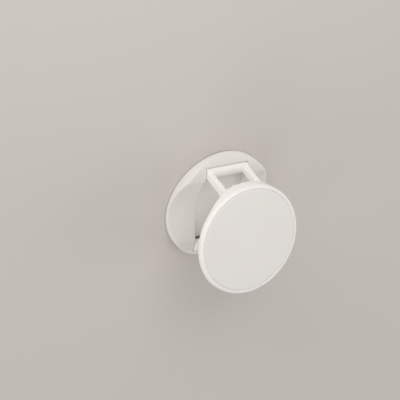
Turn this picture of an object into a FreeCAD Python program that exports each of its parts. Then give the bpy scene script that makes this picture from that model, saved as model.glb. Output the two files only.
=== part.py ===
# Stick-on phone holder: a round base on an adhesive pad, a front disc carried by an upper link,
# and a lower link that props the disc open. Both links fold inwards into a channel in the base.
# Millimetres. The pad's underside is z = 0, x runs along the hinges, y from the lower hinge to the
# upper one, and +z away from the surface that the pad sticks to.
import FreeCAD, Part
import math
import os

import Sketcher

doc = FreeCAD.newDocument("phone_holder")
sizes = doc.addObject("Spreadsheet::Sheet", "sizes")

# Driving dimensions in millimetres and degrees: alias, value, meaning
DIMENSIONS = (
    ("pad_inset", "0.4", "adhesive pad, how far its edge lies inside the base's"),
    ("pad_thickness", "0.25", "adhesive pad, thickness"),
    ("base_radius", "22", "base, outer radius"),
    ("base_edge", "0.45", "base, rounding of its outer edge"),
    ("valley_radius", "28", "base, radius of the finger valley"),
    ("valley_wall", "1.15", "base, thickness under the lowest line of the valley"),
    ("channel_width", "18.6", "base, width of the channel that takes the folded links"),
    ("channel_wall", "1.05", "base, thickness under the channel"),
    ("crest_place", "12.6", "base, middle to the crest of a ridge"),
    ("crest_round", "2.5", "base, rounding along the crests"),
    ("ridge_radius", "12", "base, radius of a ridge's outer slope"),
    ("ridge_over", "1", "base, how far that slope is drawn past the base's edge"),
    ("ridge_fall", "0.1", "base, how far below the underside the slope ends there"),
    ("hinge_inset", "6.3", "base, its outer edge to a hinge axis"),
    ("hinge_height", "2.95", "hinge axes above the base's underside"),
    ("barrel_radius", "2.1", "links, radius of the hinge barrel"),
    ("barrel_gap", "0.25", "gap between a barrel and the ends of its pocket"),
    ("side_gap", "0.2", "gap between a link and the channel's walls"),
    ("trunnion_radius", "0.7", "links, radius of the stub in the channel wall"),
    ("trunnion_length", "0.9", "links, length of that stub"),
    ("running_gap", "0.06", "radial clearance of stubs and bars in their bearings"),
    ("arm_width", "2.2", "links, width of an arm along the hinge"),
    ("arm_thickness", "2.7", "links, thickness of an arm"),
    ("arm_round", "0.25", "links, rounding of the arms' long edges"),
    ("eye_radius", "2.1", "links, radius of an arm's outer end"),
    ("bar_radius", "1.8", "links, radius of the bar between the arms' ends"),
    ("upper_length", "12.3", "upper link, hinge axis to bar axis"),
    ("upper_lean", "10.5", "upper link, lean towards the lower hinge when open"),
    ("lower_length", "14.0", "lower link, hinge axis to bar axis"),
    ("lower_lean", "1.2", "lower link, lean away from the upper hinge when open"),
    ("lower_inset", "1.5", "lower link, its barrel's end to the outer side of an arm"),
    ("disc_radius", "21.5", "disc, outer radius"),
    ("disc_round", "1.3", "disc, radius of the front edge"),
    ("disc_wall", "2.5", "disc, thickness across the middle"),
    ("disc_ridge", "5.2", "disc, thickness at the top and bottom ridges"),
    ("ridge_land", "1.47", "disc, flat part of a ridge inside the disc's edge"),
    ("disc_hollow", "20", "disc, radius of the back's rise to the ridges"),
    ("disc_tilt", "10.4", "disc, tilt of its front towards the upper hinge when open"),
    ("rim_land", "0.1", "disc, flat part of the front between its edge round and the panel's recess"),
    ("panel_thickness", "0.8", "face panel, thickness"),
    ("panel_gap", "0.05", "gap round the face panel"),
    ("panel_round", "0.2", "face panel, rounding of its front edge"),
    ("clip_inset", "4.19", "disc, its outer edge to the axis of its clips"),
    ("clip_depth", "6.75", "disc, front face to the axis of its clips"),
    ("clip_wall", "0.85", "disc, wall of a clip round the bar"),
    ("clip_reach", "1.4", "disc, how far a clip reaches past the bar's axis"),
    ("rib_place", "1.8", "disc, middle to the inner side of a clip or seat rib"),
    ("rib_width", "1.8", "disc, width of a clip or seat rib"),
    ("seat_gap", "0.3", "gap between the lower link's bar and its seat"),
    ("seat_slope", "21", "disc, slope of the seat's ramp to the face, in degrees"),
    ("seat_lip", "1.2", "disc, thickness of the lip below the seat"),
    ("seat_hook", "0.4", "how far the lip stops short of the bar's axis"),
    ("seat_ramp", "2.6", "length of the ramp above the bar's axis"),
)
for row, (alias, value, meaning) in enumerate(DIMENSIONS, start=1):
    sizes.set(f"A{row}", meaning)
    sizes.set(f"B{row}", value)
    sizes.setAlias(f"B{row}", alias)
doc.recompute()


def size(text):
    """Number that a formula on the sheet's aliases gives."""
    return float(sizes.evalExpression(text))


def formula(text):
    """Formula for another object: each alias gets the sheet's name before it."""
    words = {alias for alias, _, _ in DIMENSIONS}
    out = ""
    word = ""
    for letter in text + " ":
        if letter.isalnum() or letter == "_":
            word += letter
            continue
        out += f"sizes.{word}" if word in words else word
        out += letter
        word = ""
    return out.strip()


def new_sketch(body, name, role, offset=None):
    """Sketch on one of the body's own planes, moved along the plane's normal by a formula."""
    sketch = body.newObject("Sketcher::SketchObject", name)
    plane = next(item for item in body.Origin.OriginFeatures if item.Role == role)
    sketch.AttachmentSupport = [(plane, "")]
    sketch.MapMode = "FlatFace"
    if offset:
        sketch.setExpression("AttachmentOffset.Base.z", formula(offset))
    return sketch


def bind(sketch, kind, *items, text):
    """Constraint whose value follows a formula."""
    index = sketch.addConstraint(Sketcher.Constraint(kind, *items, size(text)))
    sketch.setExpression(f"Constraints[{index}]", formula(text))


def place_point(sketch, geometry, position, x, y):
    """Fix a point by its two formulas; a plain 0 puts it on the sketch's axis."""
    for kind, text, axis in (("DistanceX", x, -2), ("DistanceY", y, -1)):
        if text == "0":
            sketch.addConstraint(Sketcher.Constraint("PointOnObject", geometry, position, axis))
        else:
            bind(sketch, kind, -1, 1, geometry, position, text=text)


def add_outline(sketch, corners):
    """Closed outline through corners (x, y), each a formula. A corner with a third and a fourth
    item starts an arc: its radius, and 1 for an arc to the left or -1 for one to the right."""
    points = [FreeCAD.Vector(size(corner[0]), size(corner[1]), 0) for corner in corners]
    sides = []
    for index, corner in enumerate(corners):
        first = points[index]
        last = points[(index + 1) % len(points)]
        if len(corner) == 2:
            sides.append((sketch.addGeometry(Part.LineSegment(first, last)), 1, 2))
            continue
        radius = size(corner[2])
        turn = corner[3]
        chord = last - first
        rise = math.sqrt(radius ** 2 - chord.Length ** 2 / 4)
        inward = FreeCAD.Vector(-chord.y, chord.x, 0).normalize() * turn
        centre = (first + last) / 2 + inward * rise
        start, end = (first, last) if turn > 0 else (last, first)
        angles = [math.atan2(point.y - centre.y, point.x - centre.x) for point in (start, end)]
        circle = Part.Circle(centre, FreeCAD.Vector(0, 0, 1), radius)
        geometry = sketch.addGeometry(Part.ArcOfCircle(circle, *angles))
        sides.append((geometry, 1, 2) if turn > 0 else (geometry, 2, 1))
    for index, (geometry, start, end) in enumerate(sides):
        following, next_start, _ = sides[(index + 1) % len(sides)]
        sketch.addConstraint(Sketcher.Constraint("Coincident", geometry, end, following, next_start))
    for corner, (geometry, start, _) in zip(corners, sides):
        place_point(sketch, geometry, start, corner[0], corner[1])
        if len(corner) > 2:
            bind(sketch, "Radius", geometry, text=corner[2])


def add_circle(sketch, x, y, radius):
    """Circle whose centre and radius follow formulas."""
    centre = FreeCAD.Vector(size(x), size(y), 0)
    circle = Part.Circle(centre, FreeCAD.Vector(0, 0, 1), size(radius))
    geometry = sketch.addGeometry(circle)
    place_point(sketch, geometry, 3, x, y)
    bind(sketch, "Radius", geometry, text=radius)


def revolve(body, name, sketch):
    """Solid of revolution about the sketch's upright axis."""
    feature = body.newObject("PartDesign::Revolution", name)
    feature.Profile = (sketch, [""])
    feature.ReferenceAxis = (sketch, ["V_Axis"])
    feature.Angle = 360
    return feature


def pad(body, name, sketch, length, side="Symmetric"):
    """Pad along the sketch's normal."""
    feature = body.newObject("PartDesign::Pad", name)
    feature.Profile = (sketch, [""])
    feature.SideType = side
    feature.setExpression("Length", formula(length))
    return feature


def pocket(body, name, sketch, length=None, side="Symmetric", backwards=False):
    """Pocket of a given length, or through everything where no length is given."""
    feature = body.newObject("PartDesign::Pocket", name)
    feature.Profile = (sketch, [""])
    feature.SideType = side
    feature.Reversed = backwards
    if length:
        feature.setExpression("Length", formula(length))
    else:
        feature.Type = "ThroughAll"
    return feature


def mirror(body, name, features):
    """The features again on the other side of the body's YZ plane."""
    feature = body.newObject("PartDesign::Mirrored", name)
    feature.Originals = features
    plane = next(item for item in body.Origin.OriginFeatures if item.Role == "YZ_Plane")
    feature.MirrorPlane = (plane, [""])
    body.Tip = feature
    return feature


def round_edges(body, name, wanted, radius):
    """Fillet on every edge of the body so far that the test picks."""
    doc.recompute()
    tip = body.Tip
    edges = [f"Edge{i}" for i, edge in enumerate(tip.Shape.Edges, start=1) if wanted(edge)]
    feature = body.newObject("PartDesign::Fillet", name)
    feature.Base = (tip, edges)
    feature.setExpression("Radius", formula(radius))
    return feature


def lay(body, y, z, angle=None):
    """Place a body in the holder's frame: shifted in y and z, turned about the hinges' direction."""
    if angle:
        turn = FreeCAD.Rotation(FreeCAD.Vector(1, 0, 0), size(angle))
        body.Placement = FreeCAD.Placement(FreeCAD.Vector(), turn)
        body.setExpression("Placement.Rotation.Angle", formula(angle))
    body.setExpression("Placement.Base.y", formula(y))
    body.setExpression("Placement.Base.z", formula(z))


# Lengths that several pieces share
HALF_SPACING = "(base_radius - hinge_inset)"
LINK_WIDTH = "(channel_width - 2 * side_gap)"
POCKET_REACH = "(barrel_radius + barrel_gap)"
AXIS_HEIGHT = "(pad_thickness + hinge_height)"
CLIP_OFFSET = "(disc_radius - clip_inset)"
RECESS_RADIUS = "(disc_radius - disc_round - rim_land)"
PANEL_RADIUS = f"({RECESS_RADIUS} - panel_gap)"

# Axes of the two free bars when the holder is open, and the middle of the disc's front
UPPER_BAR_Y = f"({HALF_SPACING} - upper_length * sin(upper_lean))"
UPPER_BAR_Z = f"({AXIS_HEIGHT} + upper_length * cos(upper_lean))"
LOWER_BAR_Y = f"(-{HALF_SPACING} - lower_length * sin(lower_lean))"
LOWER_BAR_Z = f"({AXIS_HEIGHT} + lower_length * cos(lower_lean))"
FRONT_Y = f"({UPPER_BAR_Y} - {CLIP_OFFSET} * cos(disc_tilt) + clip_depth * sin(disc_tilt))"
FRONT_Z = f"({UPPER_BAR_Z} + {CLIP_OFFSET} * sin(disc_tilt) + clip_depth * cos(disc_tilt))"

# Adhesive pad: a plain round sticker under the base
adhesive_pad = doc.addObject("Part::Cylinder", "adhesive_pad")
adhesive_pad.setExpression("Radius", formula("base_radius - pad_inset"))
adhesive_pad.setExpression("Height", formula("pad_thickness"))

# Base: a round plate whose top is one wave across, a finger valley between two ridges, with the
# channel along it, an open pocket under each barrel and a bearing for each stub
CREST_HEIGHT = "(valley_wall + valley_radius - sqrt(valley_radius ^ 2 - crest_place ^ 2))"
ABOVE_CREST = f"({CREST_HEIGHT} + crest_round)"
ROUGH_HEIGHT = f"({CREST_HEIGHT} + crest_round / 2)"
RIDGE_END = "(base_radius + ridge_over)"
base = doc.addObject("PartDesign::Body", "base")
outline = new_sketch(base, "base_outline", "XY_Plane")
add_circle(outline, "0", "0", "base_radius")
pad(base, "base_plate", outline, ROUGH_HEIGHT, side="One side")
wave = new_sketch(base, "wave_section", "YZ_Plane")
add_outline(wave, (
    (f"-{RIDGE_END}", "-ridge_fall", "ridge_radius", -1),
    ("-crest_place", CREST_HEIGHT, "valley_radius", 1),
    ("crest_place", CREST_HEIGHT, "ridge_radius", -1),
    (RIDGE_END, "-ridge_fall"),
    (RIDGE_END, ABOVE_CREST),
    (f"-{RIDGE_END}", ABOVE_CREST),
))
pocket(base, "wave", wave)


def is_crest(edge):
    """Straight edge along a crest."""
    box = edge.BoundBox
    return isinstance(edge.Curve, Part.Line) and box.XLength > size("base_radius") and box.ZMin > 0.01


def is_outer_top(edge):
    """Edge between the base's wall and its top."""
    points = edge.discretize(5)
    on_wall = all(abs(math.hypot(p.x, p.y) - size("base_radius")) < 0.01 for p in points)
    return on_wall and edge.BoundBox.ZMin > 0.01 and not isinstance(edge.Curve, Part.Line)


round_edges(base, "crests", is_crest, "crest_round")
round_edges(base, "outer_edge", is_outer_top, "base_edge")
channel = new_sketch(base, "channel_outline", "XY_Plane", offset="channel_wall")
CHANNEL_END = f"({HALF_SPACING} + {POCKET_REACH})"
add_outline(channel, (
    ("-channel_width / 2", f"-{CHANNEL_END}"),
    ("channel_width / 2", f"-{CHANNEL_END}"),
    ("channel_width / 2", CHANNEL_END),
    ("-channel_width / 2", CHANNEL_END),
))
pocket(base, "channel", channel, side="One side", backwards=True)
for name, side in (("upper", ""), ("lower", "-")):
    opening = new_sketch(base, f"{name}_pocket_outline", "XY_Plane")
    near, far = f"{side}({HALF_SPACING} - {POCKET_REACH})", f"{side}{CHANNEL_END}"
    add_outline(opening, (
        ("-channel_width / 2", near),
        ("channel_width / 2", near),
        ("channel_width / 2", far),
        ("-channel_width / 2", far),
    ))
    pocket(base, f"{name}_pocket", opening)
    bearing = new_sketch(base, f"{name}_bearing_outline", "YZ_Plane")
    add_circle(bearing, f"{side}{HALF_SPACING}", "hinge_height", "trunnion_radius + running_gap")
    pocket(base, f"{name}_bearing", bearing, "channel_width + 2 * trunnion_length")
lay(base, "0", "pad_thickness")


def is_long_arm_edge(edge):
    """Straight edge along an arm."""
    if not isinstance(edge.Curve, Part.Line) or edge.Length < 2:
        return False
    run = edge.Vertexes[1].Point - edge.Vertexes[0].Point
    return abs(run.z) > 0.99 * edge.Length


def make_link(name, length, y, lean, inset="0"):
    """Link moulded in one piece: hinge barrel with stubs, two arms and the bar between their ends.
    Its own frame has the hinge axis along x and the arms along +z. The arms stand by the inset
    inside the barrel's ends."""
    link = doc.addObject("PartDesign::Body", name)
    barrel = new_sketch(link, f"{name}_barrel_outline", "YZ_Plane")
    add_circle(barrel, "0", "0", "barrel_radius")
    pad(link, f"{name}_barrel", barrel, LINK_WIDTH)
    stub = new_sketch(link, f"{name}_stub_outline", "YZ_Plane")
    add_circle(stub, "0", "0", "trunnion_radius")
    pad(link, f"{name}_stubs", stub, f"{LINK_WIDTH} + 2 * trunnion_length")
    arm_start = f"{LINK_WIDTH} / 2 - {inset} - arm_width"
    arm = new_sketch(link, f"{name}_arm_outline", "YZ_Plane", offset=arm_start)
    add_outline(arm, (
        ("-arm_thickness / 2", "0"),
        ("arm_thickness / 2", "0"),
        ("arm_thickness / 2", length),
        ("-arm_thickness / 2", length),
    ))
    arm_pad = pad(link, f"{name}_arm", arm, "arm_width", side="One side")
    eye = new_sketch(link, f"{name}_eye_outline", "YZ_Plane", offset=arm_start)
    add_circle(eye, "0", length, "eye_radius")
    eye_pad = pad(link, f"{name}_eye", eye, "arm_width", side="One side")
    mirror(link, f"{name}_arms", [arm_pad, eye_pad])
    bar = new_sketch(link, f"{name}_bar_outline", "YZ_Plane")
    add_circle(bar, "0", length, "bar_radius")
    pad(link, f"{name}_bar", bar, f"{LINK_WIDTH} - 2 * {inset} - arm_width")
    round_edges(link, f"{name}_soft_edges", is_long_arm_edge, "arm_round")
    lay(link, y, AXIS_HEIGHT, lean)
    return link


upper_link = make_link("upper_link", "upper_length", HALF_SPACING, "upper_lean")
lower_link = make_link("lower_link", "lower_length", f"-{HALF_SPACING}", "lower_lean", "lower_inset")

# Disc: turned front with a recess for the panel, a hollowed back, clips for the upper link's bar
# and hooked ribs that the lower link's bar rests on. Its own frame has the front at z = 0.
disc_body = doc.addObject("PartDesign::Body", "disc_body")
section = new_sketch(disc_body, "disc_section", "XZ_Plane")
add_outline(section, (
    ("0", "-panel_thickness"),
    (RECESS_RADIUS, "-panel_thickness"),
    (RECESS_RADIUS, "0"),
    ("disc_radius - disc_round", "0", "disc_round", -1),
    ("disc_radius", "-disc_round"),
    ("disc_radius", "-disc_ridge"),
    ("0", "-disc_ridge"),
))
revolve(disc_body, "disc_turned", section)
RIDGE_RISE = "(disc_ridge - disc_wall)"
RIDGE_START = "(disc_radius - ridge_land)"
FLAT_HALF = f"({RIDGE_START} - sqrt({RIDGE_RISE} * (2 * disc_hollow - {RIDGE_RISE})))"
BELOW_RIDGE = "(disc_ridge + disc_wall)"
back = new_sketch(disc_body, "back_section", "YZ_Plane")
add_outline(back, (
    (f"-{FLAT_HALF}", "-disc_wall"),
    (FLAT_HALF, "-disc_wall", "disc_hollow", -1),
    (RIDGE_START, "-disc_ridge"),
    (RIDGE_START, f"-{BELOW_RIDGE}"),
    (f"-{RIDGE_START}", f"-{BELOW_RIDGE}"),
    (f"-{RIDGE_START}", "-disc_ridge", "disc_hollow", -1),
))
pocket(disc_body, "hollow_back", back)

CLIP_RADIUS = "(bar_radius + running_gap + clip_wall)"
CLIP_HALF = f"sqrt({CLIP_RADIUS} ^ 2 - clip_reach ^ 2)"
RIB_ROOT = "(panel_thickness + disc_wall) / 2"
clip = new_sketch(disc_body, "clip_outline", "YZ_Plane", offset="rib_place")
add_outline(clip, (
    (f"{CLIP_OFFSET} + {CLIP_RADIUS}", f"-{RIB_ROOT}"),
    (f"{CLIP_OFFSET} - {CLIP_RADIUS}", f"-{RIB_ROOT}"),
    (f"{CLIP_OFFSET} - {CLIP_RADIUS}", "-clip_depth", CLIP_RADIUS, 1),
    (f"{CLIP_OFFSET} - {CLIP_HALF}", "-clip_depth - clip_reach"),
    (f"{CLIP_OFFSET} + {CLIP_HALF}", "-clip_depth - clip_reach", CLIP_RADIUS, 1),
    (f"{CLIP_OFFSET} + {CLIP_RADIUS}", "-clip_depth"),
))
clip_pad = pad(disc_body, "clip", clip, "rib_width", side="One side")

# The seat follows the lower link's bar: its axis in the disc's frame, and the lines round it
SEAT_Y = (f"(({LOWER_BAR_Y} - {FRONT_Y}) * cos(disc_tilt)"
          f" - ({LOWER_BAR_Z} - {FRONT_Z}) * sin(disc_tilt))")
SEAT_Z = (f"(({LOWER_BAR_Y} - {FRONT_Y}) * sin(disc_tilt)"
          f" + ({LOWER_BAR_Z} - {FRONT_Z}) * cos(disc_tilt))")
SEAT_REACH = "(bar_radius + seat_gap)"
RAMP_Z = f"({SEAT_Z} + {SEAT_REACH} / cos(seat_slope))"
seat = new_sketch(disc_body, "seat_outline", "YZ_Plane", offset="rib_place")
add_outline(seat, (
    (f"{SEAT_Y} + seat_ramp", f"-{RIB_ROOT}"),
    (f"{SEAT_Y} - {SEAT_REACH} - seat_lip", f"-{RIB_ROOT}"),
    (f"{SEAT_Y} - {SEAT_REACH} - seat_lip", f"{SEAT_Z} + seat_hook"),
    (f"{SEAT_Y} - {SEAT_REACH}", f"{SEAT_Z} + seat_hook"),
    (f"{SEAT_Y} - {SEAT_REACH}", f"{RAMP_Z} - {SEAT_REACH} * tan(seat_slope)"),
    (f"{SEAT_Y} + seat_ramp", f"{RAMP_Z} + seat_ramp * tan(seat_slope)"),
))
seat_pad = pad(disc_body, "seat_rib", seat, "rib_width", side="One side")
mirror(disc_body, "clips_and_seats", [clip_pad, seat_pad])
bore = new_sketch(disc_body, "bore_outline", "YZ_Plane")
add_circle(bore, CLIP_OFFSET, "-clip_depth", "bar_radius + running_gap")
pocket(disc_body, "bore", bore)
lay(disc_body, FRONT_Y, FRONT_Z, "-disc_tilt")

# Face panel: a round plate let in flush with the disc's front
face_panel = doc.addObject("PartDesign::Body", "face_panel")
plate = new_sketch(face_panel, "panel_section", "XZ_Plane")
add_outline(plate, (
    ("0", "-panel_thickness"),
    (PANEL_RADIUS, "-panel_thickness"),
    (PANEL_RADIUS, "-panel_round", "panel_round", 1),
    (f"{PANEL_RADIUS} - panel_round", "0"),
    ("0", "0"),
))
revolve(face_panel, "panel", plate)
lay(face_panel, FRONT_Y, FRONT_Z, "-disc_tilt")

doc.recompute()
for item in doc.Objects:
    if "Invalid" in item.State or "Error" in item.State:
        raise RuntimeError(f"{item.Name} failed: {item.State}")
os.makedirs("parts", exist_ok=True)
for piece in (adhesive_pad, base, upper_link, lower_link, disc_body, face_panel):
    shape = piece.Shape
    if shape.isNull() or not shape.isValid() or len(shape.Solids) != 1:
        raise RuntimeError(f"{piece.Label} is not one valid solid")
    shape.exportStep(f"parts/{piece.Label}.step")
    print(piece.Label, round(shape.Volume, 2), shape.BoundBox)
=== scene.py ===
# Stick-on phone holder, dressed: a white moulded grip and stand that opens out of a round base.
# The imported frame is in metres; the sizes below are written in millimetres, as on a drawing.
import math

import bmesh
import bpy
from mathutils import Matrix, Vector


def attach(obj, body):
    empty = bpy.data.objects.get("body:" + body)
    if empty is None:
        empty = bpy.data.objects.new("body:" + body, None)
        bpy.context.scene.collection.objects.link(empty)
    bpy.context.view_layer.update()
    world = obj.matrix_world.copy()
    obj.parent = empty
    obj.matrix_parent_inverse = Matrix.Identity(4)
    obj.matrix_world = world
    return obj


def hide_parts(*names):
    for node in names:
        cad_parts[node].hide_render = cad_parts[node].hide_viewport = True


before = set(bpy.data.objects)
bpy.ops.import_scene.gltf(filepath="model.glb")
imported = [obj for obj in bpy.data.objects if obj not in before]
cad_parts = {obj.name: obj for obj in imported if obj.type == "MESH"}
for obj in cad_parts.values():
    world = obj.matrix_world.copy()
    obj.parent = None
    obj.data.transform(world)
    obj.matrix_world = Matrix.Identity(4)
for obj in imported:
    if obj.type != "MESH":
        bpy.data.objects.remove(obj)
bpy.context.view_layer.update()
scene = bpy.context.scene
scene.view_settings.view_transform = "Standard"
MM = 0.001

# Camera: a long lens far off to the upper left of the disc, rolled so that the upper hinge is at
# the top of the picture.
CAMERA_PLACE = Vector((-640.2, 605.6, 832.5)) * MM
CAMERA_LOOK = Vector((0.52429, -0.49987, -0.68938)).normalized()
CAMERA_UP = Vector((0.16354, 0.85361, -0.49458)).normalized()
LENS = 290.15
SENSOR = 36.0


def placed(name, data):
    """Object made from this data, in the scene."""
    thing = bpy.data.objects.new(name, data)
    scene.collection.objects.link(thing)
    return thing


camera_data = bpy.data.cameras.new("camera")
camera_data.lens = LENS
camera_data.sensor_width = SENSOR
camera = placed("camera", camera_data)
camera_right = CAMERA_LOOK.cross(CAMERA_UP)
camera_turn = Matrix((camera_right, CAMERA_UP, -CAMERA_LOOK)).transposed()
camera.matrix_world = Matrix.Translation(CAMERA_PLACE) @ camera_turn.to_4x4()
scene.camera = camera

# Studio: a pale matt floor under the adhesive pad, an even pale surround, large soft lamps low at
# the left, below and at the right, and a smaller near one above that fades down the disc.
# Each lamp has its name, place, width and watts.
FLOOR_SIZE = 4000
FLOOR_DROP = 0.02
FLOOR_COLOUR = (0.64, 0.60, 0.565, 1)
FLOOR_ROUGHNESS = 0.75
WORLD_COLOUR = (1.0, 0.985, 0.965, 1)
WORLD_STRENGTH = 0.51
LAMPS = (
    ("upper_left", (-620, 740, 130), 600, 3.3),
    ("lower_left", (-850, -350, 250), 600, 1.25),
    ("below", (-250, -900, 350), 600, 1.5),
    ("right", (850, -150, 300), 600, 1.7),
    ("above", (-60, 330, 260), 300, 0.49),
)

world = bpy.data.worlds.new("studio")
scene.world = world
world.use_nodes = True
surround = world.node_tree.nodes["Background"].inputs
surround["Color"].default_value = WORLD_COLOUR
surround["Strength"].default_value = WORLD_STRENGTH
for name, place, across, watts in LAMPS:
    lamp_data = bpy.data.lights.new(name, "AREA")
    lamp_data.shape = "DISK"
    lamp_data.size = across * MM
    lamp_data.energy = watts
    lamp = placed(name, lamp_data)
    lamp.location = Vector(place) * MM
    lamp.rotation_euler = (-lamp.location).to_track_quat("-Z", "Y").to_euler()

floor_half = FLOOR_SIZE * MM / 2
floor_height = -FLOOR_DROP * MM
floor_sides = ((-1, -1), (1, -1), (1, 1), (-1, 1))
floor_corners = [(x * floor_half, y * floor_half, floor_height) for x, y in floor_sides]
floor_mesh = bpy.data.meshes.new("floor")
floor_mesh.from_pydata(floor_corners, [], [(0, 1, 2, 3)])
floor = placed("floor", floor_mesh)
floor_finish = bpy.data.materials.new("floor_pale")
floor_finish.use_nodes = True
floor_sockets = floor_finish.node_tree.nodes["Principled BSDF"].inputs
floor_sockets["Base Color"].default_value = FLOOR_COLOUR
floor_sockets["Roughness"].default_value = FLOOR_ROUGHNESS
floor_mesh.materials.append(floor_finish)

# Adhesive pad: a thin round of pale grey foam tape, die-cut, so its edge is slightly ragged.
# It covers the base's underside nearly to the edge.
PAD_RADIUS = 21.6
PAD_THICKNESS = 0.25
PAD_EDGE = 0.06
PAD_STEPS = 360
PAD_RAGGED = 0.03
CUT_RIPPLE = 1.7
CUT_SWELL = 0.31
CUT_NICK = 4.3
CUT_NICK_SHARE = 0.5
HARD_ANGLE = 35
FOAM_CELL = 0.35
FOAM_CELL_SHARE = 0.5
FOAM_CELL_DEPTH = 0.04
FOAM_CELL_RELIEF = 0.5
FOAM_MOTTLE = 3
FOAM_MOTTLE_SHARE = 0.6
FOAM_ROUGHNESS = 0.78
FOAM_MOTTLE_ROUGHNESS = 0.15
FOAM_DARK = (0.40, 0.39, 0.37, 1)
FOAM_PALE = (0.52, 0.51, 0.49, 1)


class Wire:
    """One output of a node. Arithmetic on it adds Math nodes, and node() adds any other."""

    def __init__(self, tree, socket=None):
        self.tree = tree
        self.socket = socket

    def node(self, kind, settings=None, sockets=None, out=0):
        """Adds a node: its settings first, then the values or links of its sockets."""
        added = self.tree.nodes.new(kind)
        for key, value in (settings or {}).items():
            setattr(added, key, value)
        for key, value in (sockets or {}).items():
            if isinstance(value, Wire):
                self.tree.links.new(value.socket, added.inputs[key])
            else:
                added.inputs[key].default_value = value
        return Wire(self.tree, added.outputs[out])

    def maths(self, operation, first, second):
        """Adds a Math node for one operation on two values."""
        return self.node("ShaderNodeMath", {"operation": operation}, {0: first, 1: second})

    def __add__(self, other):
        return self.maths("ADD", self, other)

    def __radd__(self, other):
        return self.maths("ADD", other, self)

    def __sub__(self, other):
        return self.maths("SUBTRACT", self, other)

    def __rsub__(self, other):
        return self.maths("SUBTRACT", other, self)

    def __mul__(self, other):
        return self.maths("MULTIPLY", self, other)

    def __rmul__(self, other):
        return self.maths("MULTIPLY", other, self)

    def between(self, low, high):
        """Rises from 0 at low to 1 at high."""
        limits = {"From Min": low, "From Max": high}
        settings = {"interpolation_type": "SMOOTHSTEP"}
        return self.node("ShaderNodeMapRange", settings, {"Value": self} | limits)

    def mix(self, first, second):
        """Colour between two colours, with this value as the share of the second."""
        settings = {"data_type": "RGBA"}
        return self.node("ShaderNodeMix", settings, {"Factor": self, 6: first, 7: second}, out=2)


def start_finish(name):
    """New material, its shader, and the Object coordinates in its tree."""
    finish = bpy.data.materials.new(name)
    finish.use_nodes = True
    tree = finish.node_tree
    place = Wire(tree).node("ShaderNodeTexCoord", out="Object")
    return finish, tree.nodes["Principled BSDF"], place


def grain(place, size, detail=2.0, roughness=0.5):
    """Noise whose features are about size millimetres across."""
    sockets = {"Vector": place, "Scale": 1 / (size * MM), "Detail": detail, "Roughness": roughness}
    return place.node("ShaderNodeTexNoise", None, sockets)


def feed(shader, key, wire):
    """Links a wire to one of the shader's sockets."""
    wire.tree.links.new(wire.socket, shader.inputs[key])


def bump(shader, height, depth, strength):
    """Relief on the shader: depth is in millimetres."""
    sockets = {"Height": height, "Distance": depth * MM, "Strength": strength}
    feed(shader, "Normal", height.node("ShaderNodeBump", None, sockets))


def circle(radius, height, count):
    """Ring of points about the z axis."""
    turns = (2 * math.pi * step / count for step in range(count))
    return [Vector((radius * math.cos(turn), radius * math.sin(turn), height)) for turn in turns]


def skin(rings, joined=False):
    """Points and faces over rings of equally many points. The ends are shut by fans, or joined."""
    count = len(rings[0])
    points = [point for ring in rings for point in ring]
    last = len(rings) if joined else len(rings) - 1
    faces = []
    for row in range(last):
        near = row * count
        far = (row + 1) % len(rings) * count
        for i in range(count):
            j = (i + 1) % count
            faces.append((near + i, near + j, far + j, far + i))
    if not joined:
        for row in (0, len(rings) - 1):
            middle = len(points)
            points.append(sum(rings[row], Vector()) / count)
            for i in range(count):
                faces.append((row * count + i, row * count + (i + 1) % count, middle))
    return points, faces


def mesh_of(name, shells, hard=HARD_ANGLE):
    """Closed mesh from shells of points in millimetres, its faces outwards. Edges that turn by more
    than the hard angle stay crisp."""
    made = bmesh.new()
    for points, faces in shells:
        corners = [made.verts.new(point * MM) for point in points]
        for face in faces:
            made.faces.new([corners[i] for i in face])
    bmesh.ops.recalc_face_normals(made, faces=made.faces)
    mesh = bpy.data.meshes.new(name)
    made.to_mesh(mesh)
    made.free()
    mesh.shade_smooth()
    mesh.set_sharp_from_angle(angle=math.radians(hard))
    return mesh


def show(name, mesh, finish, body, slot, *nodes):
    """Piece from a finished mesh, riding on a body in place of the frame's nodes."""
    mesh.materials.clear()
    mesh.materials.append(finish)
    piece = placed(name, mesh)
    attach(piece, body)
    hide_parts(*nodes)


def ragged(ring, amount):
    """The ring with a cut edge's small waves."""
    out = []
    for i, point in enumerate(ring):
        ripple = math.sin(i * CUT_RIPPLE) * math.sin(i * CUT_SWELL)
        wave = ripple + CUT_NICK_SHARE * math.sin(i * CUT_NICK)
        scale = 1 - amount * (1 + wave) / 2 / PAD_RADIUS
        out.append(Vector((point.x * scale, point.y * scale, point.z)))
    return out


foam, foam_shader, place = start_finish("closed_cell_foam")
cells = place.node("ShaderNodeTexVoronoi", None, {"Vector": place, "Scale": 1 / (FOAM_CELL * MM)})
mottle = grain(place, FOAM_MOTTLE)
foam_tone = mottle * FOAM_MOTTLE_SHARE + cells * FOAM_CELL_SHARE
feed(foam_shader, "Base Color", foam_tone.mix(FOAM_DARK, FOAM_PALE))
feed(foam_shader, "Roughness", FOAM_ROUGHNESS + FOAM_MOTTLE_ROUGHNESS * mottle)
bump(foam_shader, cells, FOAM_CELL_DEPTH, FOAM_CELL_RELIEF)
PAD_PROFILE = (
    (PAD_RADIUS - PAD_EDGE, 0),
    (PAD_RADIUS, PAD_EDGE),
    (PAD_RADIUS, PAD_THICKNESS - PAD_EDGE),
    (PAD_RADIUS - PAD_EDGE, PAD_THICKNESS),
)
pad_rings = [ragged(circle(radius, height, PAD_STEPS), PAD_RAGGED) for radius, height in PAD_PROFILE]
pad_mesh = mesh_of("adhesive_pad", [skin(pad_rings)])
show("foam_pad", pad_mesh, foam, "base", "adhesive_foam", "adhesive_pad")

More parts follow.
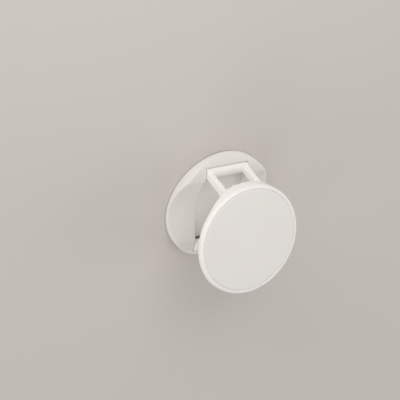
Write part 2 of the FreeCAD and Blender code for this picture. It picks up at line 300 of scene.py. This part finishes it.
# Base: an injection-moulded round plate of white plastic. Its top is one wave across, a finger valley
# between two ridges, and a straight channel takes the folded links, open through under each barrel.
BASE_RADIUS = 22.0
BASE_EDGE = 0.45
BASE_EDGE_RUN = 1.1
BASE_FOOT = 0.12
VALLEY_RADIUS = 28.0
VALLEY_WALL = 1.15
VALLEY_ALONE = 0.75
CREST_PLACE = 12.6
CREST_BLEND = 0.25
RIDGE_RADIUS = 12.0
RIDGE_OVER = 1.0
RIDGE_FALL = 0.1
CHANNEL_WIDTH = 18.6
CHANNEL_WALL = 1.05
CHANNEL_CORNER = 0.5
CHANNEL_FOOT = 0.5
CHANNEL_ROWS = (0.35, 0.7, 1.0)
CHANNEL_LIP = 0.16
CHANNEL_STEP = 0.3
HINGE_INSET = 6.3
HINGE_HEIGHT = 2.95
BARREL_RADIUS = 2.1
BARREL_GAP = 0.25
STUB_RADIUS = 0.7
STUB_LENGTH = 0.9
RUNNING_GAP = 0.06
PLATE_EDGE = 0.12
PLATE_TUCK = 0.15
PLATE_CORNER = 0.3
PLATE_STEP = 1.5
LIP_STEPS = 6
TOP_STEPS = 44
EDGE_STEPS = 6
FOOT_STEPS = 4
# The base's two whites are set darker than the links' and disc's white of the same plastic: painted
# shade that makes the whole base look darker.
BASE_WHITE_PAINTED_SHADE = (0.778, 0.754, 0.721, 1)
BASE_DRIFT_PAINTED_SHADE = (0.762, 0.737, 0.704, 1)
DRIFT_SIZE = 14
DRIFT_LIMITS = (0.3, 0.7)
TOUCH_SIZE = 6
TOUCH_LIMITS = (0.42, 0.68)
TOUCH_SHINE = 0.07
GRAIN_SIZE = 0.16
GRAIN_ROUGHNESS = 0.06
GRAIN_DEPTH = 0.012
GRAIN_RELIEF = 0.35
PLASTIC_ROUGHNESS = 0.54
PLASTIC_SPECULAR = 0.45
HINGE_REACH = BASE_RADIUS - HINGE_INSET
CHANNEL_END = HINGE_REACH + BARREL_RADIUS + BARREL_GAP
AXIS_HEIGHT = PAD_THICKNESS + HINGE_HEIGHT


def moulded_white(name, light, shade):
    """Satin white plastic: faint colour drift, touched patches that shine more, and a fine grain."""
    finish, shader, place = start_finish(name)
    drift = grain(place, DRIFT_SIZE, detail=3.0).between(*DRIFT_LIMITS)
    touched = grain(place, TOUCH_SIZE, detail=4.0, roughness=0.6).between(*TOUCH_LIMITS)
    spark = grain(place, GRAIN_SIZE, detail=1.0)
    feed(shader, "Base Color", drift.mix(light, shade))
    feed(shader, "Roughness", PLASTIC_ROUGHNESS - TOUCH_SHINE * touched + GRAIN_ROUGHNESS * spark)
    shader.inputs["Specular IOR Level"].default_value = PLASTIC_SPECULAR
    bump(shader, spark, GRAIN_DEPTH, GRAIN_RELIEF)
    return finish


def soft_lower(first, second, width):
    """The lower of two heights, with a rounded change from one to the other."""
    share = max(width - abs(first - second), 0) / width
    return min(first, second) - share * share * width / 4


def valley_height(y):
    """Round bottom of the finger valley above the base's underside."""
    return VALLEY_WALL + VALLEY_RADIUS - math.sqrt(VALLEY_RADIUS ** 2 - y ** 2)


crest = Vector((CREST_PLACE, valley_height(CREST_PLACE)))
ridge_run = Vector((BASE_RADIUS + RIDGE_OVER, -RIDGE_FALL)) - crest
ridge_drop = math.sqrt(RIDGE_RADIUS ** 2 - ridge_run.length_squared / 4)
ridge_centre = crest + ridge_run / 2 + Vector((ridge_run.y, -ridge_run.x)).normalized() * ridge_drop


def wave_height(y):
    """Top of the base above its underside: valley or ridge, whichever is lower. The ridge counts
    only near the crest and beyond it."""
    valley = valley_height(y)
    if abs(y) < VALLEY_ALONE * CREST_PLACE:
        return valley
    ridge = ridge_centre.y + math.sqrt(RIDGE_RADIUS ** 2 - (abs(y) - ridge_centre.x) ** 2)
    return soft_lower(valley, ridge, CREST_BLEND)


def quarter(steps):
    """Angles through a quarter turn in equal steps, both ends included."""
    return [math.radians(90 * step / steps) for step in range(steps + 1)]


def rounded_rectangle(half_x, half_y, corner, step, turns=8):
    """Points round a rectangle with round corners, about step apart on its straight sides."""
    bends = []
    for side_x, side_y, start in ((1, 1, 0), (-1, 1, 90), (-1, -1, 180), (1, -1, 270)):
        centre = Vector((side_x * (half_x - corner), side_y * (half_y - corner), 0))
        angles = [math.radians(start + 90 * i / turns) for i in range(turns + 1)]
        bends.append([centre + Vector((math.cos(a), math.sin(a), 0)) * corner for a in angles])
    points = []
    for bend, following in zip(bends, bends[1:] + bends[:1]):
        points += bend
        run = following[0] - bend[-1]
        pieces = max(1, round(run.length / step))
        points += [bend[-1] + run * (i / pieces) for i in range(1, pieces)]
    return points


def channel_mouth(out=0):
    """Outline of the channel, grown by out."""
    half_x = CHANNEL_WIDTH / 2
    return rounded_rectangle(half_x + out, CHANNEL_END + out, CHANNEL_CORNER + out, CHANNEL_STEP)


def at_height(ring, height):
    """The ring's points at one height."""
    return [Vector((point.x, point.y, height)) for point in ring]


def on_top(ring, fall=0):
    """The ring's points on the base's wavy top, or by fall below it."""
    return [Vector((p.x, p.y, PAD_THICKNESS + wave_height(p.y) - fall)) for p in ring]


# Base material: the same satin white plastic, with its whites darkened as painted shade.
base_white_painted_shade = moulded_white("base_white_painted_shade", BASE_WHITE_PAINTED_SHADE, BASE_DRIFT_PAINTED_SHADE)
mouth = channel_mouth()
rim = [point.normalized() * BASE_RADIUS for point in mouth]
wall_foot = at_height(mouth, PAD_THICKNESS + CHANNEL_FOOT)
wall_top = on_top(mouth, CHANNEL_LIP)
base_rings = [at_height(mouth, PAD_THICKNESS), wall_foot]
for share in CHANNEL_ROWS:
    base_rings.append([foot.lerp(top, share) for foot, top in zip(wall_foot, wall_top)])
for turn in quarter(LIP_STEPS)[1:]:
    grown = channel_mouth(CHANNEL_LIP * (1 - math.cos(turn)))
    base_rings.append(on_top(grown, CHANNEL_LIP * (1 - math.sin(turn))))
lip = channel_mouth(CHANNEL_LIP)
edge_start = [end * (1 - BASE_EDGE_RUN / BASE_RADIUS) for end in rim]
for step in range(1, TOP_STEPS + 1):
    base_rings.append(on_top([near.lerp(far, step / TOP_STEPS) for near, far in zip(lip, edge_start)]))
for turn in quarter(EDGE_STEPS)[1:]:
    scale = 1 - BASE_EDGE_RUN * (1 - math.sin(turn)) / BASE_RADIUS
    base_rings.append(on_top([end * scale for end in rim], BASE_EDGE * (1 - math.cos(turn))))
for turn in quarter(FOOT_STEPS):
    scale = 1 - BASE_FOOT * (1 - math.cos(turn)) / BASE_RADIUS
    height = PAD_THICKNESS + BASE_FOOT * (1 - math.sin(turn))
    base_rings.append(at_height([end * scale for end in rim], height))
base_mesh = mesh_of("base_shell", [skin(base_rings, joined=True)])


def turned(profile, count=64):
    """Shell turned about the x axis from points (place along x, radius)."""
    rings = []
    for x, radius in profile:
        rings.append([Vector((x, point.x, point.y)) for point in circle(radius, 0, count)])
    return skin(rings)


def moved(shell, shift):
    """The shell in another place."""
    points, faces = shell
    return [point + shift for point in points], faces


def settled(thing):
    """Plain mesh of an object after its modifiers. The object itself is removed."""
    shown = thing.evaluated_get(bpy.context.evaluated_depsgraph_get())
    mesh = bpy.data.meshes.new_from_object(shown)
    bpy.data.objects.remove(thing)
    return mesh


def cut_away(mesh, shells):
    """The mesh with the shells taken out of it."""
    body = placed("cut_body", mesh)
    tool = placed("cut_tool", mesh_of("cut_tool", shells))
    cut = body.modifiers.new("cut", "BOOLEAN")
    cut.operation = "DIFFERENCE"
    cut.solver = "EXACT"
    cut.object = tool
    result = settled(body)
    bpy.data.objects.remove(tool)
    return result


bearing_half = CHANNEL_WIDTH / 2 + STUB_LENGTH
bearing_radius = STUB_RADIUS + RUNNING_GAP
bearing = turned(((-bearing_half, bearing_radius), (bearing_half, bearing_radius)))
bearings = [moved(bearing, Vector((0, side * HINGE_REACH, AXIS_HEIGHT))) for side in (1, -1)]
base_mesh = cut_away(base_mesh, bearings)


def plate(half_x, half_y, low, high, edge):
    """Flat plate with small bevelled edges."""
    rings = []
    for inset, height in ((edge, low), (0, low + edge), (0, high - edge), (edge, high)):
        outline = rounded_rectangle(half_x - inset, half_y - inset, PLATE_CORNER, PLATE_STEP)
        rings.append(at_height(outline, height))
    return skin(rings)


def join(name, *meshes):
    """One mesh from several, with their hard edges."""
    made = bmesh.new()
    for mesh in meshes:
        made.from_mesh(mesh)
    joined = bpy.data.meshes.new(name)
    made.to_mesh(joined)
    made.free()
    return joined


plate_half_x = CHANNEL_WIDTH / 2 + PLATE_TUCK
plate_half_y = HINGE_REACH - BARREL_RADIUS - BARREL_GAP
plate_top = PAD_THICKNESS + CHANNEL_WALL
floor_plate = plate(plate_half_x, plate_half_y, PAD_THICKNESS, plate_top, PLATE_EDGE)
base_mesh = join("base", base_mesh, mesh_of("channel_floor", [floor_plate]))
show("base_moulding", base_mesh, base_white_painted_shade, "base", "white_plastic", "base")

# Links: two frames of white plastic, each moulded in one, the lower one a little longer. Each has a
# hinge barrel with a stub at each end that snaps into the channel's wall, two arms, and a bar
# between the arms' round ends.
SIDE_GAP = 0.2
ARM_WIDTH = 2.2
ARM_THICKNESS = 2.7
ARM_ROUND = 0.25
ARM_STEP = 0.6
EYE_RADIUS = 2.1
BAR_RADIUS = 1.8
BAR_ROUND = 0.2
STUB_ROUND = 0.2
STUB_STEPS = 48
EDGE_ROUND = 0.3
END_STEPS = 5
VOXEL = 0.11
SOFTEN_FACTOR = 0.5
SOFTEN_PASSES = 4
UPPER_LENGTH = 12.3
UPPER_LEAN = 10.5
LOWER_LENGTH = 14.0
LOWER_LEAN = 1.2
LOWER_INSET = 1.5
LINK_HALF = CHANNEL_WIDTH / 2 - SIDE_GAP
WHITE = (0.898, 0.876, 0.846, 1)
WHITE_SHADE = (0.880, 0.857, 0.825, 1)


def round_ended(half_length, radius, edge):
    """Profile of a turned piece along x with rounded edges at both ends."""
    far = []
    for turn in quarter(END_STEPS):
        far.append((half_length - edge * (1 - math.sin(turn)), radius - edge * (1 - math.cos(turn))))
    return [(-x, reach) for x, reach in reversed(far)] + far


def link_mesh(name, length, hinge_y, lean, inset=0):
    """Link as one moulding: its shells are fused and the corners between them softened. Its arms
    stand by the inset inside the barrel's ends."""
    bar_end = Vector((0, 0, length))
    arm_middle = LINK_HALF - inset - ARM_WIDTH / 2
    shells = [
        turned(round_ended(LINK_HALF, BARREL_RADIUS, EDGE_ROUND)),
        turned(round_ended(LINK_HALF + STUB_LENGTH, STUB_RADIUS, STUB_ROUND), STUB_STEPS),
        moved(turned(round_ended(arm_middle, BAR_RADIUS, BAR_ROUND)), bar_end),
    ]
    for side in (1, -1):
        across = Vector((side * arm_middle, 0, 0))
        eye = turned(round_ended(ARM_WIDTH / 2, EYE_RADIUS, EDGE_ROUND))
        shells.append(moved(eye, bar_end + across))
        section = rounded_rectangle(ARM_WIDTH / 2, ARM_THICKNESS / 2, ARM_ROUND, ARM_STEP)
        arm = skin([at_height(section, height) for height in (0, length / 2, length)])
        shells.append(moved(arm, across))
    fused = placed(name, mesh_of(name, shells))
    remesh = fused.modifiers.new("fuse", "REMESH")
    remesh.mode = "VOXEL"
    remesh.voxel_size = VOXEL * MM
    remesh.use_smooth_shade = True
    soften = fused.modifiers.new("soften", "SMOOTH")
    soften.factor = SOFTEN_FACTOR
    soften.iterations = SOFTEN_PASSES
    mesh = settled(fused)
    hinge = Matrix.Translation(Vector((0, hinge_y, AXIS_HEIGHT)) * MM)
    mesh.transform(hinge @ Matrix.Rotation(math.radians(lean), 4, "X"))
    mesh.shade_smooth()
    return mesh


white = moulded_white("satin_white", WHITE, WHITE_SHADE)
upper_mesh = link_mesh("upper_frame", UPPER_LENGTH, HINGE_REACH, UPPER_LEAN)
show("upper_frame", upper_mesh, white, "upper_link", "white_plastic", "upper_link")
lower_mesh = link_mesh("lower_frame", LOWER_LENGTH, -HINGE_REACH, LOWER_LEAN, LOWER_INSET)
show("lower_frame", lower_mesh, white, "lower_link", "white_plastic", "lower_link")

# Disc: the round front, one moulding of white plastic. Its edge is rolled over, its back is hollowed
# between a top and a bottom ridge, and clips and hooked ribs on the back take the two links' bars.
DISC_RADIUS = 21.5
DISC_ROUND = 1.3
DISC_WALL = 2.5
DISC_RIDGE = 5.2
DISC_BACK_EDGE = 0.35
DISC_HARD_ANGLE = 50
RIDGE_LAND = 1.47
RIDGE_BLEND = 0.3
DISC_HOLLOW = 20.0
DISC_TILT = 10.4
RIM_LAND = 0.1
RIM_INNER_EDGE = ((0.15, -0.09), (0.32, -0.026))
GROOVE_DEPTH = 0.2
PANEL_THICKNESS = 0.8
RECESS_ROW = 0.5
DISC_STEPS = 480
ROLL_STEPS = 12
BACK_EDGE_STEPS = 5
BACK_STEPS = 30
CLIP_INSET = 4.19
CLIP_DEPTH = 6.75
CLIP_WALL = 0.85
CLIP_REACH = 1.4
CLIP_TIP_STEPS = 6
CLIP_BORE_STEPS = 40
RIB_PLACE = 1.8
RIB_WIDTH = 1.8
RIB_EDGE = 0.18
RIB_EDGE_STEPS = 3
RIB_EDGE_ANGLE = 50
RIB_ROW_INPUTS = {"Rib": "Geometry", "Count": "Int", "First place": "Float", "Spacing": "Float"}
SEAT_GAP = 0.3
SEAT_SLOPE = 21
SEAT_LIP = 1.2
SEAT_HOOK = 0.4
SEAT_RAMP = 2.6
CLIP_PLACE = DISC_RADIUS - CLIP_INSET
RECESS_RADIUS = DISC_RADIUS - DISC_ROUND - RIM_LAND


def bar_axis(hinge_y, length, lean):
    """Axis of a link's bar in the holder's frame."""
    turn = math.radians(lean)
    return Vector((0, hinge_y - length * math.sin(turn), AXIS_HEIGHT + length * math.cos(turn)))


disc_turn = Matrix.Rotation(math.radians(-DISC_TILT), 3, "X")
upper_bar = bar_axis(HINGE_REACH, UPPER_LENGTH, UPPER_LEAN)
lower_bar = bar_axis(-HINGE_REACH, LOWER_LENGTH, LOWER_LEAN)
front_middle = upper_bar - disc_turn @ Vector((0, CLIP_PLACE, -CLIP_DEPTH))
disc_place = Matrix.Translation(front_middle * MM) @ disc_turn.to_4x4()
seat = disc_turn.transposed() @ (lower_bar - front_middle)


def back_depth(y):
    """Depth of the disc's back behind its front."""
    rise = DISC_RIDGE - DISC_WALL
    start = DISC_RADIUS - RIDGE_LAND - math.sqrt(rise * (2 * DISC_HOLLOW - rise))
    out = min(max(abs(y) - start, 0), DISC_HOLLOW)
    hollow = DISC_WALL + DISC_HOLLOW - math.sqrt(DISC_HOLLOW ** 2 - out ** 2)
    return soft_lower(hollow, DISC_RIDGE, RIDGE_BLEND)


def on_back(ring, lift=0):
    """The ring's points on the disc's back, or by lift in front of it."""
    return [Vector((p.x, p.y, lift - back_depth(p.y))) for p in ring]


recess = ((-RECESS_ROW, -PANEL_THICKNESS), (0, -PANEL_THICKNESS), (0, -GROOVE_DEPTH))
disc_rings = []
for out, height in recess + RIM_INNER_EDGE:
    disc_rings.append(circle(RECESS_RADIUS + out, height, DISC_STEPS))
for turn in quarter(ROLL_STEPS)[2:]:
    radius = DISC_RADIUS - DISC_ROUND * (1 - math.sin(turn))
    disc_rings.append(circle(radius, DISC_ROUND * (math.cos(turn) - 1), DISC_STEPS))
side_top = disc_rings[-1]
side_foot = on_back(side_top, DISC_BACK_EDGE)
disc_rings.append([top.lerp(foot, 0.5) for top, foot in zip(side_top, side_foot)])
disc_rings.append(side_foot)
for turn in quarter(BACK_EDGE_STEPS)[1:]:
    radius = DISC_RADIUS - DISC_BACK_EDGE * (1 - math.cos(turn))
    lift = DISC_BACK_EDGE * (1 - math.sin(turn))
    disc_rings.append(on_back(circle(radius, 0, DISC_STEPS), lift))
for step in range(1, BACK_STEPS):
    radius = (DISC_RADIUS - DISC_BACK_EDGE) * (1 - step / BACK_STEPS)
    disc_rings.append(on_back(circle(radius, 0, DISC_STEPS)))


def arc(centre_y, centre_z, radius, first, last, pieces):
    """Points (y, z) along an arc, angles in degrees from +y."""
    turns = [math.radians(first + (last - first) * i / pieces) for i in range(pieces + 1)]
    return [(centre_y + radius * math.cos(t), centre_z + radius * math.sin(t)) for t in turns]


def rib_row_tree(finish):
    """Geometry nodes that set copies of one rib in a row along x, as one mesh in the finish."""
    tree = bpy.data.node_groups.new("rib_row", "GeometryNodeTree")
    for name, kind in RIB_ROW_INPUTS.items():
        tree.interface.new_socket(name, in_out="INPUT", socket_type="NodeSocket" + kind)
    tree.interface.new_socket("Ribs", in_out="OUTPUT", socket_type="NodeSocketGeometry")
    given = tree.nodes.new("NodeGroupInput").outputs
    rib, count, first, spacing = (Wire(tree, given[name]) for name in RIB_ROW_INPUTS)
    first_place = first.node("ShaderNodeCombineXYZ", None, {"X": first})
    step = spacing.node("ShaderNodeCombineXYZ", None, {"X": spacing})
    sockets = {"Count": count, "Start Location": first_place, "Offset": step}
    places = count.node("GeometryNodeMeshLine", {"mode": "OFFSET"}, sockets)
    copies = rib.node("GeometryNodeInstanceOnPoints", None, {"Points": places, "Instance": rib})
    solid = copies.node("GeometryNodeRealizeInstances", None, {"Geometry": copies})
    dressed = solid.node("GeometryNodeSetMaterial", None, {"Geometry": solid, "Material": finish})
    tree.links.new(dressed.socket, tree.nodes.new("NodeGroupOutput").inputs["Ribs"])
    return tree


rib_row = rib_row_tree(white)


def rib_mesh(name, outline):
    """The pair of like ribs that an outline (y, z) gives, their edges rounded."""
    made = bmesh.new()
    face = made.faces.new([made.verts.new(Vector((0, y, z)) * MM) for y, z in outline])
    grown = bmesh.ops.extrude_face_region(made, geom=[face])["geom"]
    across_x = [item for item in grown if isinstance(item, bmesh.types.BMVert)]
    bmesh.ops.translate(made, verts=across_x, vec=Vector((RIB_WIDTH, 0, 0)) * MM)
    bmesh.ops.recalc_face_normals(made, faces=made.faces)
    least = math.radians(RIB_EDGE_ANGLE)
    edges = [edge for edge in made.edges if edge.calc_face_angle(0) > least]
    bmesh.ops.bevel(made, geom=edges, offset=RIB_EDGE * MM, segments=RIB_EDGE_STEPS, profile=0.5,
                    affect="EDGES", clamp_overlap=True)
    rib = bpy.data.meshes.new(name)
    made.to_mesh(rib)
    made.free()
    row = placed(name, rib)
    modifier = row.modifiers.new("row", "NODES")
    modifier.node_group = rib_row
    spacing = -(2 * RIB_PLACE + RIB_WIDTH)
    inputs = {"Count": 2, "First place": RIB_PLACE * MM, "Spacing": spacing * MM}
    for item in rib_row.interface.items_tree:
        if item.name in inputs:
            modifier[item.identifier] = inputs[item.name]
    mesh = settled(row)
    mesh.shade_smooth()
    mesh.set_sharp_from_angle(angle=math.radians(HARD_ANGLE))
    return mesh


bore = BAR_RADIUS + RUNNING_GAP
clip_radius = bore + CLIP_WALL
outer_turn = math.degrees(math.asin(CLIP_REACH / clip_radius))
inner_turn = math.degrees(math.asin(CLIP_REACH / bore))
rib_root = -(PANEL_THICKNESS + DISC_WALL) / 2
clip_outline = [(CLIP_PLACE + clip_radius, rib_root), (CLIP_PLACE - clip_radius, rib_root)]
clip_outline += arc(CLIP_PLACE, -CLIP_DEPTH, clip_radius, 180, 180 + outer_turn, CLIP_TIP_STEPS)
clip_outline += arc(CLIP_PLACE, -CLIP_DEPTH, bore, 180 + inner_turn, -inner_turn, CLIP_BORE_STEPS)
clip_outline += arc(CLIP_PLACE, -CLIP_DEPTH, clip_radius, 360 - outer_turn, 360, CLIP_TIP_STEPS)
seat_reach = BAR_RADIUS + SEAT_GAP
slope = math.tan(math.radians(SEAT_SLOPE))
ramp = seat.z + seat_reach / math.cos(math.radians(SEAT_SLOPE))
seat_outline = [
    (seat.y + SEAT_RAMP, rib_root),
    (seat.y - seat_reach - SEAT_LIP, rib_root),
    (seat.y - seat_reach - SEAT_LIP, seat.z + SEAT_HOOK),
    (seat.y - seat_reach, seat.z + SEAT_HOOK),
    (seat.y - seat_reach, ramp - seat_reach * slope),
    (seat.y + SEAT_RAMP, ramp + SEAT_RAMP * slope),
]
disc_shell = mesh_of("disc_shell", [skin(disc_rings)], DISC_HARD_ANGLE)
clips = rib_mesh("clips", clip_outline)
seats = rib_mesh("seats", seat_outline)
disc_mesh = join("disc", disc_shell, clips, seats)
disc_mesh.transform(disc_place)
show("disc_moulding", disc_mesh, white, "disc", "white_plastic", "disc_body")

# Face panel: a flat round plate of white plastic glued into the disc's recess, flush with the rim,
# with a fine bevel round its edge. Its surface is more matt than the rest.
PANEL_GAP = 0.05
PANEL_LEAD = 0.3
PANEL_LEAD_RISE = 0.1
PANEL_EDGE = 0.03
PANEL_BEVEL = 0.45
PANEL_BEVEL_TOP = 0.1
PANEL_BEVEL_SINK = 0.006
PANEL_ROWS = (0.6, 0.3)
PANEL_HARD_ANGLE = 20
FACE_WHITE = (0.842, 0.812, 0.775, 1)
FACE_SHADE = (0.829, 0.798, 0.760, 1)
FACE_DRIFT_SIZE = 18
FACE_GRIT_SIZE = 0.22
FACE_GRIT_ROUGHNESS = 0.10
FACE_GRIT_DEPTH = 0.012
FACE_GRIT_RELIEF = 0.4
FACE_ROUGHNESS = 0.56
FACE_SPECULAR = 0.4
PANEL_RADIUS = RECESS_RADIUS - PANEL_GAP

face_white, face_shader, place = start_finish("matt_face_white")
face_drift = grain(place, FACE_DRIFT_SIZE, detail=3.0).between(*DRIFT_LIMITS)
grit = grain(place, FACE_GRIT_SIZE)
feed(face_shader, "Base Color", face_drift.mix(FACE_WHITE, FACE_SHADE))
feed(face_shader, "Roughness", FACE_ROUGHNESS + FACE_GRIT_ROUGHNESS * grit)
face_shader.inputs["Specular IOR Level"].default_value = FACE_SPECULAR
bump(face_shader, grit, FACE_GRIT_DEPTH, FACE_GRIT_RELIEF)
panel_profile = [
    (PANEL_RADIUS - PANEL_LEAD, -PANEL_THICKNESS),
    (PANEL_RADIUS, -PANEL_THICKNESS + PANEL_LEAD_RISE),
    (PANEL_RADIUS, -GROOVE_DEPTH - PANEL_EDGE),
    (PANEL_RADIUS - PANEL_EDGE, -GROOVE_DEPTH),
    (PANEL_RADIUS - PANEL_BEVEL, -PANEL_BEVEL_SINK),
    (PANEL_RADIUS - PANEL_BEVEL - PANEL_BEVEL_TOP, 0),
]
panel_profile += [(PANEL_RADIUS * share, 0) for share in PANEL_ROWS]
panel_rings = [circle(radius, height, DISC_STEPS) for radius, height in panel_profile]
panel_mesh = mesh_of("panel", [skin(panel_rings)], PANEL_HARD_ANGLE)
panel_mesh.transform(disc_place)
show("front_panel", panel_mesh, face_white, "disc", "white_face", "face_panel")
